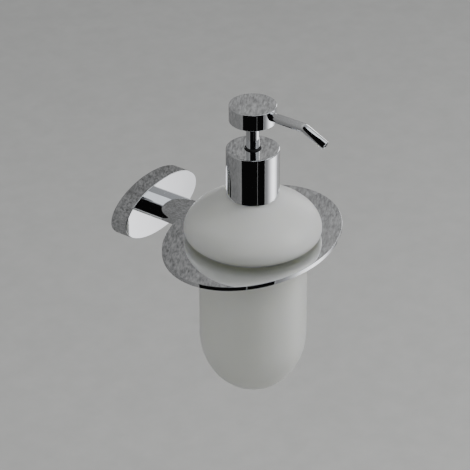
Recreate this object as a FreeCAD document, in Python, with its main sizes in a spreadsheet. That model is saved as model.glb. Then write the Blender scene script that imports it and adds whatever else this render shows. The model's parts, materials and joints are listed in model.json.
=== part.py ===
import FreeCAD, Part
import math
import os

import Sketcher

# Wall mounted soap dispenser, in millimetres.
# Origin: centre of the rosette's back face, on the wall.  +Z is up, the wall is the plane Y = 0,
# the object stands out from it along -Y, and X runs along the wall.
# The bottle, the pump and the head share one upright axis, at Y = -reach.

doc = FreeCAD.newDocument("SoapDispenser")

# ---------------------------------------------------------------------------
# Driving dimensions
# ---------------------------------------------------------------------------
DIMENSIONS = {
    # play between parts, on the radius
    "close_play": 0.02,             # parts that fit closely
    "screw_play": 0.15,             # a screw or its head in a clearance hole
    # wall side
    "reach": 83.0,                  # wall to the bottle axis
    "rosette_half_x": 36.7,
    "rosette_half_z": 18.0,
    "rosette_depth": 11.9,
    "rosette_wall": 2.5,
    "rosette_web": 3.0,
    "rosette_edge": 0.4,
    "bracket_half_x": 33.8,
    "bracket_half_z": 15.1,
    "bracket_depth": 4.0,
    "bracket_edge": 0.6,
    "wall_screw_offset": 20.0,      # each wall screw hole from the middle
    "wall_screw_hole": 2.6,         # radius
    "grub_depth": 2.1,              # grub screw axis from the wall
    "grub_radius": 1.5,
    "grub_low": -17.7,
    "grub_high": -14.0,
    "grub_socket": 0.85,
    "grub_socket_depth": 1.4,
    "grub_notch_play": 0.1,
    # arm and ring
    "arm_half_x": 12.7,
    "arm_half_z": 7.1,
    "arm_end": 48.0,                # wall to the arm's tip, before it is trimmed round
    "arm_screw_offset": 6.5,
    "arm_screw_radius": 2.5,
    "arm_screw_length": 13.0,
    "arm_screw_hole_depth": 12.0,   # into the arm
    "arm_screw_head": 4.2,          # radius
    "arm_screw_head_height": 2.8,
    "arm_screw_socket": 1.9,
    "ring_half_x": 66.0,
    "ring_half_y": 50.0,
    "ring_low": 0.2,
    "ring_high": 3.0,
    "ring_hole": 35.3,
    "ring_edge": 0.2,
    "arm_tip_gap": 2.0,             # ring hole to the arm's lower tip
    "slot_play": 0.06,              # arm slot over the ring plate, each side
    "shoulder_room": 43.8,          # radius left free over the ring for the bottle's shoulder
    "ring_screw_x": 5.2,
    "ring_screw_y": 36.8,           # wall to the ring screws
    "ring_screw_radius": 1.5,
    "ring_screw_seat": -3.6,
    "ring_screw_tip": 5.2,
    "ring_screw_head": 2.75,        # radius
    "ring_screw_head_height": 1.9,
    "ring_screw_socket": 1.4,
    "ring_screw_end_play": 0.2,
    "liner_bore": 34.3,
    "liner_play": 0.04,
    "liner_flange": 38.4,
    "liner_flange_high": 3.7,
    # bottle
    "shoulder_radius": 42.8,
    "shoulder_rise": 21.7,          # half height of the shoulder's ellipse
    "shoulder_slope": 0.6,          # rise over run of the cone that the ellipse runs into
    "shoulder_z": 8.3,
    "edge_round": 3.8,
    "seat_radius": 36.5,
    "seat_z": 3.75,
    "body_radius": 33.9,
    "body_low": -68.0,
    "bottom_drop": 40.0,
    "glass_wall": 3.0,
    "inner_rise": 1.6,              # inside, from the barrel's end to the widest level
    "neck_radius": 12.9,
    "neck_bore": 10.4,
    "neck_high": 47.0,
    "thread_crest": 13.9,
    "thread_height": 1.3,
    "thread_pitch": 3.2,
    "thread_low": 37.0,
    "thread_bevel": 0.3,            # share of the ridge's height that slopes, on each side
    # closure
    "cap_radius": 16.5,
    "cap_wall": 0.9,
    "cap_low": 32.6,
    "cap_high": 64.3,
    "cap_top": 1.2,
    "cap_edge": 0.8,
    "cap_hole": 5.15,
    "collar_radius": 15.5,
    "collar_bore": 14.2,
    "collar_low": 34.2,
    "collar_web_low": 49.8,
    "collar_high": 51.4,
    "collar_hole": 9.6,
    "gasket_radius": 13.4,
    "gasket_bore": 8.2,
    "gasket_low": 47.05,
    "gasket_high": 48.2,
    # pump
    "flange_radius": 12.9,
    "flange_high": 49.6,
    "barrel_radius": 7.6,
    "barrel_bore": 6.2,
    "barrel_floor": 12.0,
    "barrel_low": -6.0,
    "barrel_taper_high": 10.4,
    "barrel_taper_low": 7.5,
    "valve_radius": 3.7,
    "valve_pocket": 2.45,
    "valve_seat": 1.4,
    "valve_seat_low": 6.6,
    "valve_seat_high": 7.8,
    "valve_lip": 1.7,
    "valve_lip_low": 11.2,
    "tube_radius": 2.45,
    "tube_bore": 1.6,
    "tube_high": 4.6,
    "tube_low": -101.0,
    "tube_end_play": 0.1,
    "inlet_ball_radius": 2.0,
    "inlet_ball_z": 8.06,
    "bush_flange": 9.2,
    "bush_flange_high": 51.2,
    "bush_plug": 6.1,
    "bush_plug_low": 44.5,
    "bush_radius": 6.8,
    "bush_high": 62.9,
    "bush_lip": 4.95,
    "bush_lip_high": 65.1,
    "bush_bore": 4.16,
    # moving stem
    "sleeve_radius": 4.1,
    "sleeve_bore": 3.3,
    "sleeve_low": 46.0,
    "sleeve_high": 88.0,
    "stem_radius": 3.22,
    "stem_bore": 1.3,
    "stem_low": 34.4,
    "stem_high": 87.2,
    "stem_foot": 5.0,
    "stem_foot_high": 35.6,
    "piston_seat": 2.6,             # stem radius inside the piston
    "piston_radius": 6.14,
    "piston_low": 35.7,
    "piston_high": 42.2,
    "piston_lip": 1.2,
    "piston_lip_slope": 0.8,
    "piston_waist": 0.7,            # depth of the waist
    "piston_stop": 42.6,            # stem's shoulder over the piston
    "outlet_pocket": 2.1,
    "outlet_low": 71.2,
    "outlet_seat_height": 0.8,
    "outlet_high": 75.4,
    "outlet_ball_radius": 1.7,
    "outlet_ball_z": 72.32,
    "spring_radius": 4.6,
    "spring_wire": 0.45,
    "spring_low": 12.5,
    "spring_high": 33.9,
    "spring_pitch": 3.0,
    # head and spout
    "head_radius": 14.55,
    "head_wall": 1.0,
    "head_low": 83.5,
    "head_high": 94.2,
    "head_top": 0.8,
    "head_edge": 0.35,
    "core_radius": 13.5,
    "core_low": 84.3,
    "core_high": 93.35,
    "core_channel": 1.6,
    "spout_z": 90.1,
    "spout_radius": 2.95,
    "spout_bore": 2.2,
    "spout_start": 6.0,             # bottle axis to the tube's inner end
    "spout_end_play": 0.05,
    "sleeve_end_play": 0.1,
    "spout_bend": 36.0,             # bottle axis to the start of the bend
    "spout_bend_radius": 7.0,
    "spout_tip_length": 15.2,
    "spout_drop": 26.0,             # degrees below level
}

sheet = doc.addObject("Spreadsheet::Sheet", "Dims")
for row, (name, value) in enumerate(DIMENSIONS.items(), start=1):
    sheet.set(f"A{row}", name)
    sheet.set(f"B{row}", str(value))
    sheet.setAlias(f"B{row}", name)
doc.recompute()

NODES = []          # the objects that are written out, in order


# ---------------------------------------------------------------------------
# Helpers
# ---------------------------------------------------------------------------
def bound(expression):
    """Put the sheet's name before every alias, so that "cap_low + 2" reads the cell."""
    words = expression.replace("(", "( ").replace(")", " )").split()
    return " ".join("Dims." + word if word in DIMENSIONS else word for word in words)


def value_of(expression):
    return float(sheet.evalExpression(bound(expression)))


def bind(thing, path, expression):
    thing.setExpression(path, bound(expression))


def new_body(label):
    body = doc.addObject("PartDesign::Body", label)
    body.Label = label
    NODES.append(body)
    return body


def origin_part(body, role):
    return next(item for item in body.Origin.OriginFeatures if item.Role == role)


def new_sketch(body, role, offset="0", forward="0"):
    """A sketch on an origin plane, moved along the plane's normal by offset.

    forward shifts its own origin along the sketch's second axis.
    """
    sketch = body.newObject("Sketcher::SketchObject", body.Name + "_sketch")
    sketch.AttachmentSupport = [(origin_part(body, role), "")]
    sketch.MapMode = "FlatFace"
    bind(sketch, "AttachmentOffset.Base.z", offset)
    bind(sketch, "AttachmentOffset.Base.y", forward)
    return sketch


def pin_point(sketch, geometry, position, x, y):
    """Hold one point of a sketch at x, y, both given as expressions."""
    for kind, axis, expression in (("DistanceX", -2, x), ("DistanceY", -1, y)):
        if expression == "0":
            sketch.addConstraint(Sketcher.Constraint("PointOnObject", geometry, position, axis))
            continue
        constraint = Sketcher.Constraint(kind, -1, 1, geometry, position, value_of(expression))
        index = sketch.addConstraint(constraint)
        bind(sketch, f"Constraints[{index}]", expression)


def outline(sketch, points):
    """A closed outline of straight lines through points given as pairs of expressions."""
    places = [FreeCAD.Vector(value_of(x), value_of(y), 0) for x, y in points]
    first = sketch.GeometryCount
    count = len(points)
    for index in range(count):
        sketch.addGeometry(Part.LineSegment(places[index], places[(index + 1) % count]), False)
    for index in range(count):
        line = first + index
        following = first + (index + 1) % count
        sketch.addConstraint(Sketcher.Constraint("Coincident", line, 2, following, 1))
        pin_point(sketch, line, 1, *points[index])


def circle(sketch, radius, x="0", y="0"):
    centre = FreeCAD.Vector(value_of(x), value_of(y), 0)
    index = sketch.addGeometry(Part.Circle(centre, FreeCAD.Vector(0, 0, 1), value_of(radius)), False)
    pin_point(sketch, index, 3, x, y)
    constraint = sketch.addConstraint(Sketcher.Constraint("Radius", index, value_of(radius)))
    bind(sketch, f"Constraints[{constraint}]", radius)


def ellipse(sketch, half_x, half_y):
    """An ellipse about the sketch's origin, with its long axis along the sketch's X."""
    curve = Part.Ellipse(FreeCAD.Vector(0, 0, 0), value_of(half_x), value_of(half_y))
    index = sketch.addGeometry(curve, False)
    sketch.exposeInternalGeometry(index)
    sketch.addConstraint(Sketcher.Constraint("Coincident", index, 3, -1, 1))
    sketch.addConstraint(Sketcher.Constraint("Horizontal", index + 1))
    for line, half in ((index + 1, half_x), (index + 2, half_y)):
        constraint = Sketcher.Constraint("Distance", line, 2 * value_of(half))
        number = sketch.addConstraint(constraint)
        bind(sketch, f"Constraints[{number}]", f"2 * ( {half} )")


def pad(body, sketch, length):
    feature = body.newObject("PartDesign::Pad", body.Name + "_pad")
    feature.Profile = sketch
    bind(feature, "Length", length)
    doc.recompute()
    return feature


def pocket(body, sketch, length=None, reverse=False):
    before = body.Shape.Volume
    feature = body.newObject("PartDesign::Pocket", body.Name + "_pocket")
    feature.Profile = sketch
    feature.Reversed = reverse
    if length is None:
        feature.Type = "ThroughAll"
        feature.Midplane = True
    else:
        bind(feature, "Length", length)
    doc.recompute()
    if not body.Shape.Volume < before - 0.01:
        raise ValueError(f"{feature.Label} removes nothing")
    return feature


def turned(label, points):
    """A body turned about the bottle axis from an outline of radius and height."""
    body = new_body(label)
    sketch = new_sketch(body, "XZ_Plane", offset="reach")
    outline(sketch, points)
    feature = body.newObject("PartDesign::Revolution", label + "_turn")
    feature.Profile = sketch
    feature.ReferenceAxis = (sketch, ["V_Axis"])
    feature.Angle = 360
    doc.recompute()
    return body


def tube_profile(inner, outer, low, high):
    return [(inner, low), (outer, low), (outer, high), (inner, high)]


def edges_at(body, test):
    """Names of the edges of the body's tip for which test(edge) is true."""
    shape = body.Tip.Shape
    names = [f"Edge{number}" for number, edge in enumerate(shape.Edges, start=1) if test(edge)]
    if not names:
        raise ValueError(f"no edge found on {body.Label}")
    return names


def dress(body, kind, size, test):
    """A PartDesign Fillet or Chamfer of the given size on the edges that test picks."""
    tip = body.Tip
    names = edges_at(body, test)
    feature = body.newObject("PartDesign::" + kind, body.Name + "_" + kind.lower())
    feature.Base = (tip, names)
    bind(feature, "Radius" if kind == "Fillet" else "Size", size)
    doc.recompute()
    return feature


def lies_at(axis, place):
    """True for an edge that lies wholly at one height along an axis."""
    low, high = axis + "Min", axis + "Max"

    def test(edge):
        box = edge.BoundBox
        return abs(getattr(box, low) - place) < 1e-3 and abs(getattr(box, high) - place) < 1e-3

    return test


def outer_edge(axis, place, longer_than):
    """Like lies_at, and longer than a given length, which leaves out the holes."""
    level = lies_at(axis, place)
    return lambda edge: level(edge) and edge.Length > longer_than


# ---------------------------------------------------------------------------
# Wall side: bracket, rosette, grub screw
# ---------------------------------------------------------------------------
def make_wall_plate():
    """Oval bracket that the installer screws to the wall; it hides inside the rosette."""
    body = new_body("wall_plate")
    face = new_sketch(body, "XZ_Plane")
    ellipse(face, "bracket_half_x", "bracket_half_z")
    pad(body, face, "bracket_depth")
    holes = new_sketch(body, "XZ_Plane")
    circle(holes, "wall_screw_hole", x="wall_screw_offset")
    circle(holes, "wall_screw_hole", x="-1 * wall_screw_offset")
    pocket(body, holes)
    # notch in the lower edge, where the grub screw's tip bears
    notch = new_sketch(body, "XZ_Plane")
    right = "grub_radius + grub_notch_play"
    left = "-1 * grub_radius - grub_notch_play"
    floor = "grub_high + grub_notch_play"
    below = "-1 * rosette_half_z"
    outline(notch, [(left, below), (right, below), (right, floor), (left, floor)])
    pocket(body, notch)
    depth = -value_of("bracket_depth")
    dress(body, "Chamfer", "bracket_edge", outer_edge("Y", depth, longer_than=60))


def make_rosette():
    """Oval cup over the bracket: a thin side wall and a thicker web that carries the arm."""
    body = new_body("rosette")
    outside = new_sketch(body, "XZ_Plane")
    ellipse(outside, "rosette_half_x", "rosette_half_z")
    pad(body, outside, "rosette_depth")
    hollow = new_sketch(body, "XZ_Plane")
    ellipse(hollow, "rosette_half_x - rosette_wall", "rosette_half_z - rosette_wall")
    pocket(body, hollow, "rosette_depth - rosette_web", reverse=True)
    screws = new_sketch(body, "XZ_Plane")
    circle(screws, "arm_screw_radius + screw_play", x="arm_screw_offset")
    circle(screws, "arm_screw_radius + screw_play", x="-1 * arm_screw_offset")
    pocket(body, screws)
    grub = new_sketch(body, "XY_Plane", offset="-1 * rosette_half_z - 1", forward="-1 * grub_depth")
    circle(grub, "grub_radius + close_play")
    pocket(body, grub, "rosette_wall + 1.5", reverse=True)
    front = -value_of("rosette_depth")
    dress(body, "Chamfer", "rosette_edge", outer_edge("Y", front, longer_than=60))


def hexagon(sketch, radius, x="0", y="0"):
    """Six corners at the given radius about x, y: a key's socket."""
    corners = []
    for corner in range(6):
        angle = math.radians(60 * corner)
        along = round(math.cos(angle), 6)
        across = round(math.sin(angle), 6)
        corners.append((f"{x} + {radius} * {along}", f"{y} + {radius} * {across}"))
    outline(sketch, corners)


def make_grub_screw():
    body = new_body("rosette_grub_screw")
    shank = new_sketch(body, "XY_Plane", offset="grub_low", forward="-1 * grub_depth")
    circle(shank, "grub_radius")
    pad(body, shank, "grub_high - grub_low")
    socket = new_sketch(body, "XY_Plane", offset="grub_low", forward="-1 * grub_depth")
    hexagon(socket, "grub_socket")
    pocket(body, socket, "grub_socket_depth", reverse=True)


# ---------------------------------------------------------------------------
# Arm, ring plate and the screws that hold them
# ---------------------------------------------------------------------------
def make_arm():
    """Bar of elliptical section.  Its end is slotted for the ring plate: the part above the
    plate stops short of the bottle's shoulder, the part below runs on almost to the hole."""
    body = new_body("arm")
    section = new_sketch(body, "XZ_Plane", offset="rosette_depth")
    ellipse(section, "arm_half_x", "arm_half_z")
    pad(body, section, "arm_end - rosette_depth")

    slot = new_sketch(body, "XY_Plane", offset="ring_high + slot_play", forward="-1 * reach")
    ellipse(slot, "ring_half_x + slot_play", "ring_half_y + slot_play")
    pocket(body, slot, "ring_high - ring_low + 2 * slot_play")

    shoulder = new_sketch(body, "XY_Plane", offset="arm_half_z + 1", forward="-1 * reach")
    circle(shoulder, "shoulder_room")
    pocket(body, shoulder, "arm_half_z + 1 - ring_high")

    tip = new_sketch(body, "XY_Plane", forward="-1 * reach")
    circle(tip, "ring_hole + arm_tip_gap")
    pocket(body, tip)

    for radius, low, high in (
        ("ring_screw_head + screw_play", "-1 * arm_half_z - 1", "ring_screw_seat"),
        ("ring_screw_radius + close_play", "ring_screw_seat - 1", "ring_screw_tip + ring_screw_end_play"),
    ):
        hole = new_sketch(body, "XY_Plane", offset=low, forward="-1 * ring_screw_y")
        circle(hole, radius, x="ring_screw_x")
        circle(hole, radius, x="-1 * ring_screw_x")
        pocket(body, hole, f"{high} - ( {low} )", reverse=True)

    threads = new_sketch(body, "XZ_Plane", offset="rosette_depth")
    circle(threads, "arm_screw_radius + close_play", x="arm_screw_offset")
    circle(threads, "arm_screw_radius + close_play", x="-1 * arm_screw_offset")
    pocket(body, threads, "arm_screw_hole_depth", reverse=True)


def screw_pair(label, role, offset, forward, side, sizes):
    """Two equal cap screws side by side.  sizes: shank radius, shank length, head radius,
    head height, socket radius.  The seat is at offset, and the shank goes along the normal."""
    shank_radius, shank_length, head_radius, head_height, socket_radius = sizes
    body = new_body(label)
    sides = (side, f"-1 * {side}")
    shank = new_sketch(body, role, offset=offset, forward=forward)
    head = new_sketch(body, role, offset=f"{offset} - {head_height}", forward=forward)
    socket = new_sketch(body, role, offset=f"{offset} - {head_height}", forward=forward)
    for x in sides:
        circle(shank, shank_radius, x=x)
        circle(head, head_radius, x=x)
        hexagon(socket, socket_radius, x=x)
    pad(body, shank, shank_length)
    pad(body, head, head_height)
    pocket(body, socket, f"{head_height} * 3 / 5", reverse=True)


def make_ring_plate():
    """Oval plate with the round hole that the bottle hangs in."""
    body = new_body("ring_plate")
    plan = new_sketch(body, "XY_Plane", offset="ring_low", forward="-1 * reach")
    ellipse(plan, "ring_half_x", "ring_half_y")
    circle(plan, "ring_hole")
    pad(body, plan, "ring_high - ring_low")
    screws = new_sketch(body, "XY_Plane", forward="-1 * ring_screw_y")
    circle(screws, "ring_screw_radius + screw_play", x="ring_screw_x")
    circle(screws, "ring_screw_radius + screw_play", x="-1 * ring_screw_x")
    pocket(body, screws)
    for level in ("ring_high", "ring_low"):
        dress(body, "Chamfer", "ring_edge", outer_edge("Z", value_of(level), longer_than=300))


def make_ring_liner():
    outside = "ring_hole - liner_play"
    turned("ring_liner", [
        ("liner_bore", "ring_low"),
        (outside, "ring_low"),
        (outside, "ring_high"),
        ("liner_flange", "ring_high"),
        ("liner_flange", "liner_flange_high"),
        ("liner_bore", "liner_flange_high"),
    ])


# ---------------------------------------------------------------------------
# Bottle
# ---------------------------------------------------------------------------
def flat_point(radius, height):
    return FreeCAD.Vector(radius, height, 0)


def elliptic_edge(centre_height, half_width, half_height, start, end):
    """Arc of an ellipse about the bottle axis, in the plane of radius and height."""
    centre = flat_point(0, centre_height)
    side = flat_point(half_width, centre_height)
    top = flat_point(0, centre_height + half_height)
    if half_width > half_height:
        curve = Part.Ellipse(side, top, centre)
    else:
        curve = Part.Ellipse(top, side, centre)
    first = curve.parameter(start)
    last = curve.parameter(end)
    if (last - first) % (2 * math.pi) > math.pi:
        first, last = last, first
    return Part.ArcOfEllipse(curve, first, last).toShape()


def cone_start(centre_height, half_width, half_height, slope):
    """Point where an ellipse is as steep as the cone that carries on from it to the neck."""
    share = 1 / math.hypot(1, half_height / (slope * half_width))
    return flat_point(half_width * share, centre_height + half_height * math.sqrt(1 - share ** 2))


def up_cone(start, slope, radius):
    """Point on that cone at a given radius."""
    return flat_point(radius, start.y + slope * (start.x - radius))


def make_bottle():
    """Glass bottle, turned from one wall section.  Its shoulder is an ellipse that runs into a
    cone, and its bottom is half an ellipse, so the section is a wire and not a sketch."""
    size = {name: value_of(name) for name in DIMENSIONS}
    wall = size["glass_wall"]
    widest = size["shoulder_radius"]
    level = size["shoulder_z"]
    rise = size["shoulder_rise"]
    slope = size["shoulder_slope"]
    rounding = size["edge_round"]
    barrel = size["body_radius"]
    low = size["body_low"]
    drop = size["bottom_drop"]
    neck = size["neck_radius"]
    bore = size["neck_bore"]

    # outside, from the lip down to the bottom
    dome_top = cone_start(level, widest, rise, slope)
    outside = [flat_point(bore, size["neck_high"]), flat_point(neck, size["neck_high"])]
    height = size["thread_height"]
    bevel = size["thread_bevel"] * height
    for turn in (2, 1, 0):
        ridge = size["thread_low"] + turn * size["thread_pitch"]
        outside.append(flat_point(neck, ridge + height))
        outside.append(flat_point(size["thread_crest"], ridge + height - bevel))
        outside.append(flat_point(size["thread_crest"], ridge + bevel))
        outside.append(flat_point(neck, ridge))
    outside += [up_cone(dome_top, slope, neck), dome_top]
    shoulder = flat_point(widest, level)
    halfway = rounding * math.sin(math.radians(45))
    edge_middle = flat_point(widest - rounding + halfway, level - halfway)
    edge_low = flat_point(widest - rounding, level - rounding)
    under = [
        edge_low,
        flat_point(size["seat_radius"], size["seat_z"]),
        flat_point(barrel, size["seat_z"]),
        flat_point(barrel, low),
    ]
    bottom = flat_point(0, low - drop)

    # inside, from the bottom up to the lip
    floor = flat_point(0, low - drop + wall)
    inside_foot = flat_point(barrel - wall, low)
    inside_shoulder = flat_point(widest - wall, level)
    inside_top = cone_start(level, widest - wall, rise - wall, slope)
    inside_neck = up_cone(inside_top, slope, bore)
    inside = [inside_foot, flat_point(barrel - wall, level - size["inner_rise"]), inside_shoulder]

    def straight(points):
        return [Part.makeLine(a, b) for a, b in zip(points, points[1:])]

    edges = straight(outside)
    edges.append(elliptic_edge(level, widest, rise, dome_top, shoulder))
    edges.append(Part.Arc(shoulder, edge_middle, edge_low).toShape())
    edges += straight(under)
    edges.append(elliptic_edge(low, barrel, drop, under[-1], bottom))
    edges.append(Part.makeLine(bottom, floor))
    edges.append(elliptic_edge(low, barrel - wall, drop - wall, floor, inside_foot))
    edges += straight(inside)
    edges.append(elliptic_edge(level, widest - wall, rise - wall, inside_shoulder, inside_top))
    edges += straight([inside_top, inside_neck, outside[0]])

    section = Part.Face(Part.Wire(Part.__sortEdges__(edges)))
    section.rotate(FreeCAD.Vector(0, 0, 0), FreeCAD.Vector(1, 0, 0), 90)
    bottle = doc.addObject("Part::Feature", "bottle")
    bottle.Label = "bottle"
    bottle.Shape = section.revolve(FreeCAD.Vector(0, 0, 0), FreeCAD.Vector(0, 0, 1), 360)
    bottle.Placement = FreeCAD.Placement(FreeCAD.Vector(0, -size["reach"], 0), FreeCAD.Rotation())
    NODES.append(bottle)


# ---------------------------------------------------------------------------
# Closure
# ---------------------------------------------------------------------------
def make_closure_cap():
    inside = "cap_radius - cap_wall"
    ceiling = "cap_high - cap_top"
    body = turned("closure_cap", [
        ("cap_hole", ceiling),
        ("cap_hole", "cap_high"),
        ("cap_radius", "cap_high"),
        ("cap_radius", "cap_low"),
        (inside, "cap_low"),
        (inside, ceiling),
    ])
    dress(body, "Fillet", "cap_edge", outer_edge("Z", value_of("cap_high"), longer_than=60))


def make_closure_collar():
    turned("closure_collar", [
        ("collar_bore", "collar_low"),
        ("collar_radius", "collar_low"),
        ("collar_radius", "collar_high"),
        ("collar_hole", "collar_high"),
        ("collar_hole", "collar_web_low"),
        ("collar_bore", "collar_web_low"),
    ])


# ---------------------------------------------------------------------------
# Pump, the part that stays still in the neck
# ---------------------------------------------------------------------------
def make_pump_housing():
    """Barrel with a flange on the neck, and the lower valve's pocket at its foot."""
    socket = "tube_radius + close_play"
    socket_top = "tube_high + tube_end_play"
    turned("pump_housing", [
        ("barrel_bore", "flange_high"),
        ("flange_radius", "flange_high"),
        ("flange_radius", "gasket_high"),
        ("barrel_radius", "gasket_high"),
        ("barrel_radius", "barrel_taper_high"),
        ("valve_radius", "barrel_taper_low"),
        ("valve_radius", "barrel_low"),
        (socket, "barrel_low"),
        (socket, socket_top),
        ("valve_seat", socket_top),
        ("valve_seat", "valve_seat_low"),
        ("valve_pocket", "valve_seat_high"),
        ("valve_pocket", "valve_lip_low"),
        ("valve_lip", "valve_lip_low"),
        ("valve_lip", "barrel_floor"),
        ("barrel_bore", "barrel_floor"),
    ])


def make_guide_bush():
    """Bush that closes the barrel and guides the stem; its lip fills the cap's hole."""
    seat = "flange_high + close_play"
    turned("guide_bush", [
        ("bush_bore", "bush_plug_low"),
        ("bush_plug", "bush_plug_low"),
        ("bush_plug", seat),
        ("bush_flange", seat),
        ("bush_flange", "bush_flange_high"),
        ("bush_radius", "bush_flange_high"),
        ("bush_radius", "bush_high"),
        ("bush_lip", "bush_high"),
        ("bush_lip", "bush_lip_high"),
        ("bush_bore", "bush_lip_high"),
    ])


def make_ball(label, radius, height):
    ball = doc.addObject("Part::Sphere", label)
    ball.Label = label
    bind(ball, "Radius", radius)
    bind(ball, "Placement.Base.y", "-1 * reach")
    bind(ball, "Placement.Base.z", height)
    NODES.append(ball)


def make_spring():
    """Coil spring in the barrel, between its floor and the foot of the stem."""
    coil = doc.addObject("Part::Helix", "spring_coil")
    bind(coil, "Radius", "spring_radius")
    bind(coil, "Pitch", "spring_pitch")
    bind(coil, "Height", "spring_high - spring_low")
    bind(coil, "Placement.Base.y", "-1 * reach")
    bind(coil, "Placement.Base.z", "spring_low")
    wire = doc.addObject("Part::Circle", "spring_section")
    bind(wire, "Radius", "spring_wire")
    wire.Placement.Rotation = FreeCAD.Rotation(FreeCAD.Vector(1, 0, 0), 90)
    bind(wire, "Placement.Base.x", "spring_radius")
    bind(wire, "Placement.Base.y", "-1 * reach")
    bind(wire, "Placement.Base.z", "spring_low")
    doc.recompute()
    spring = doc.addObject("Part::Sweep", "spring")
    spring.Label = "spring"
    spring.Sections = [wire]
    spring.Spine = (coil, [f"Edge{number + 1}" for number in range(len(coil.Shape.Edges))])
    spring.Solid = True
    spring.Frenet = True
    NODES.append(spring)


# ---------------------------------------------------------------------------
# Pump, the part that is pressed
# ---------------------------------------------------------------------------
def make_piston_stem():
    """Hollow stem: foot for the spring, seat for the piston, pocket for the upper ball."""
    turned("piston_stem", [
        ("stem_bore", "stem_low"),
        ("stem_foot", "stem_low"),
        ("stem_foot", "stem_foot_high"),
        ("piston_seat", "stem_foot_high"),
        ("piston_seat", "piston_stop"),
        ("stem_radius", "piston_stop"),
        ("stem_radius", "stem_high"),
        ("stem_bore", "stem_high"),
        ("stem_bore", "outlet_high"),
        ("outlet_pocket", "outlet_high"),
        ("outlet_pocket", "outlet_low + outlet_seat_height"),
        ("stem_bore", "outlet_low"),
    ])


def make_piston():
    """Plastic piston with a sealing lip at each end and a waist between them."""
    inside = "piston_seat + close_play"
    waist = "piston_radius - piston_waist"
    turned("piston", [
        (inside, "piston_low"),
        ("piston_radius", "piston_low"),
        ("piston_radius", "piston_low + piston_lip"),
        (waist, "piston_low + piston_lip + piston_lip_slope"),
        (waist, "piston_high - piston_lip - piston_lip_slope"),
        ("piston_radius", "piston_high - piston_lip"),
        ("piston_radius", "piston_high"),
        (inside, "piston_high"),
    ])


# ---------------------------------------------------------------------------
# Head and spout
# ---------------------------------------------------------------------------
def make_head_shell():
    """Thin metal cup, open below, that covers the plastic core."""
    inside = "head_radius - head_wall"
    ceiling = "head_high - head_top"
    body = turned("head_shell", [
        ("0", ceiling),
        ("0", "head_high"),
        ("head_radius", "head_high"),
        ("head_radius", "head_low"),
        (inside, "head_low"),
        (inside, ceiling),
    ])
    hole = new_sketch(body, "XZ_Plane", offset="reach")
    circle(hole, "spout_radius + close_play", y="spout_z")
    pocket(body, hole, "head_radius + 1", reverse=True)
    for level in ("head_high", "head_low"):
        dress(body, "Fillet", "head_edge", outer_edge("Z", value_of(level), longer_than=88))


def make_head_core():
    """Plastic core: the stem's socket below, and the channel from the stem to the spout."""
    socket = "sleeve_radius + close_play"
    socket_top = "sleeve_high + sleeve_end_play"
    body = turned("head_core", [
        (socket, "core_low"),
        ("core_radius", "core_low"),
        ("core_radius", "core_high"),
        ("0", "core_high"),
        ("0", "spout_z"),
        ("core_channel", "spout_z"),
        ("core_channel", socket_top),
        (socket, socket_top),
    ])
    channel = new_sketch(body, "XZ_Plane", offset="reach")
    circle(channel, "core_channel", y="spout_z")
    pocket(body, channel, "spout_start + 1", reverse=True)
    seat = new_sketch(body, "XZ_Plane", offset="reach + spout_start - spout_end_play")
    circle(seat, "spout_radius + close_play", y="spout_z")
    pocket(body, seat, "core_radius", reverse=True)


def make_spout_tube():
    """Tube straight out of the head's side, then one small bend down and a straight tip."""
    body = new_body("spout_tube")
    route = new_sketch(body, "YZ_Plane")
    drop = "spout_drop * 1 deg"
    start = ("-1 * ( reach + spout_start )", "spout_z")
    bend = ("-1 * ( reach + spout_bend )", "spout_z")
    after = (
        f"-1 * ( reach + spout_bend + spout_bend_radius * sin( {drop} ) )",
        f"spout_z - spout_bend_radius * ( 1 - cos( {drop} ) )",
    )
    tip = (
        f"{after[0]} - spout_tip_length * cos( {drop} )",
        f"{after[1]} - spout_tip_length * sin( {drop} )",
    )
    place = [FreeCAD.Vector(value_of(y), value_of(z), 0) for y, z in (start, bend, after, tip)]
    radius = value_of("spout_bend_radius")
    half_turn = math.radians(value_of("spout_drop") / 2)
    middle = place[1] + FreeCAD.Vector(-radius * math.sin(half_turn), -radius * (1 - math.cos(half_turn)), 0)
    route.addGeometry(Part.LineSegment(place[0], place[1]), False)
    route.addGeometry(Part.Arc(place[1], middle, place[2]), False)
    route.addGeometry(Part.LineSegment(place[2], place[3]), False)
    arc_start, arc_end = (1, 2) if route.getPoint(1, 1).isEqual(place[1], 1e-6) else (2, 1)
    route.addConstraint(Sketcher.Constraint("Coincident", 0, 2, 1, arc_start))
    route.addConstraint(Sketcher.Constraint("Coincident", 1, arc_end, 2, 1))
    pin_point(route, 0, 1, *start)
    pin_point(route, 0, 2, *bend)
    pin_point(route, 2, 1, *after)
    pin_point(route, 2, 2, *tip)
    number = route.addConstraint(Sketcher.Constraint("Radius", 1, radius))
    bind(route, f"Constraints[{number}]", "spout_bend_radius")

    ring = new_sketch(body, "XZ_Plane", offset="reach + spout_start")
    circle(ring, "spout_radius", y="spout_z")
    circle(ring, "spout_bore", y="spout_z")
    doc.recompute()
    pipe = body.newObject("PartDesign::AdditivePipe", "spout_pipe")
    pipe.Profile = ring
    pipe.Spine = (route, ["Edge1", "Edge2", "Edge3"])
    doc.recompute()


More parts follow.
